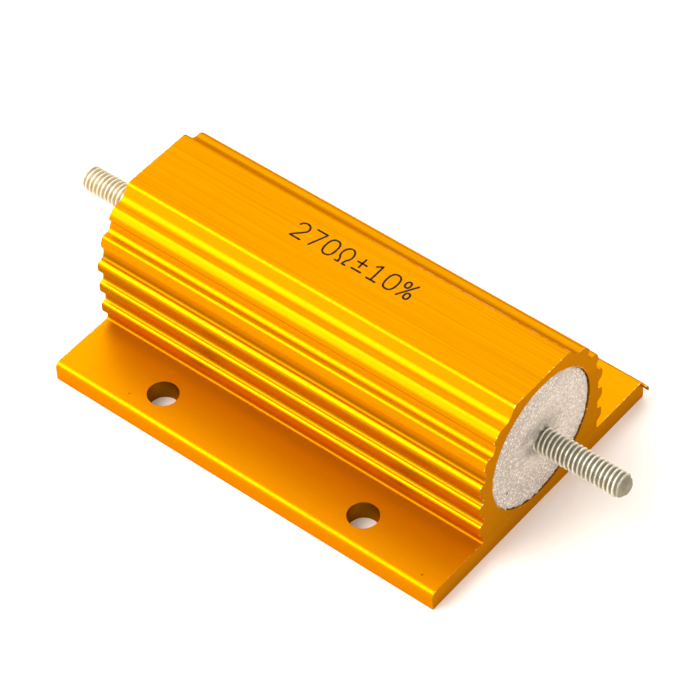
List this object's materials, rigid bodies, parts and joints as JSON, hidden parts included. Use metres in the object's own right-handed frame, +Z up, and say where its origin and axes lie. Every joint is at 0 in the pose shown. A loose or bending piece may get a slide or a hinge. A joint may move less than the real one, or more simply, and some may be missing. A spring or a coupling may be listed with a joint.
{
  "type": "aluminium housed power resistor",
  "caption": "Ribbed anodised aluminium block with drilled feet, a cement-filled bore and threaded terminal studs at its ends; turns electrical power into heat for a chassis to carry away.",
  "frame": {"origin": "middle of the mounting face, midway between the four mounting holes and between the two sawn ends of the housing", "axes": "+X along the bore from the left stud to the right stud, +Y across the two feet, +Z up from the mounting face"},
  "size_m": [0.0932, 0.0468, 0.0246],
  "materials": {
    "anodised_housing": "extruded, orange-gold anodised, satin; matte sawn ends",
    "cement": "sandy grey potting cement, matte and grainy",
    "core_ceramic": "unglazed white ceramic",
    "resistance_wire": "drawn resistance wire",
    "cap_steel": "pressed steel, plated",
    "plated_stud": "rolled thread, dull warm grey plating"
  },
  "bodies": {
    "root": {"housing": "anodised_housing", "cement_fill": "cement", "ceramic_core": "core_ceramic", "resistance_winding": "resistance_wire", "end_cap_left": "cap_steel", "end_cap_right": "cap_steel", "terminal_stud_left": "plated_stud", "terminal_stud_right": "plated_stud"}
  },
  "joints": []
}
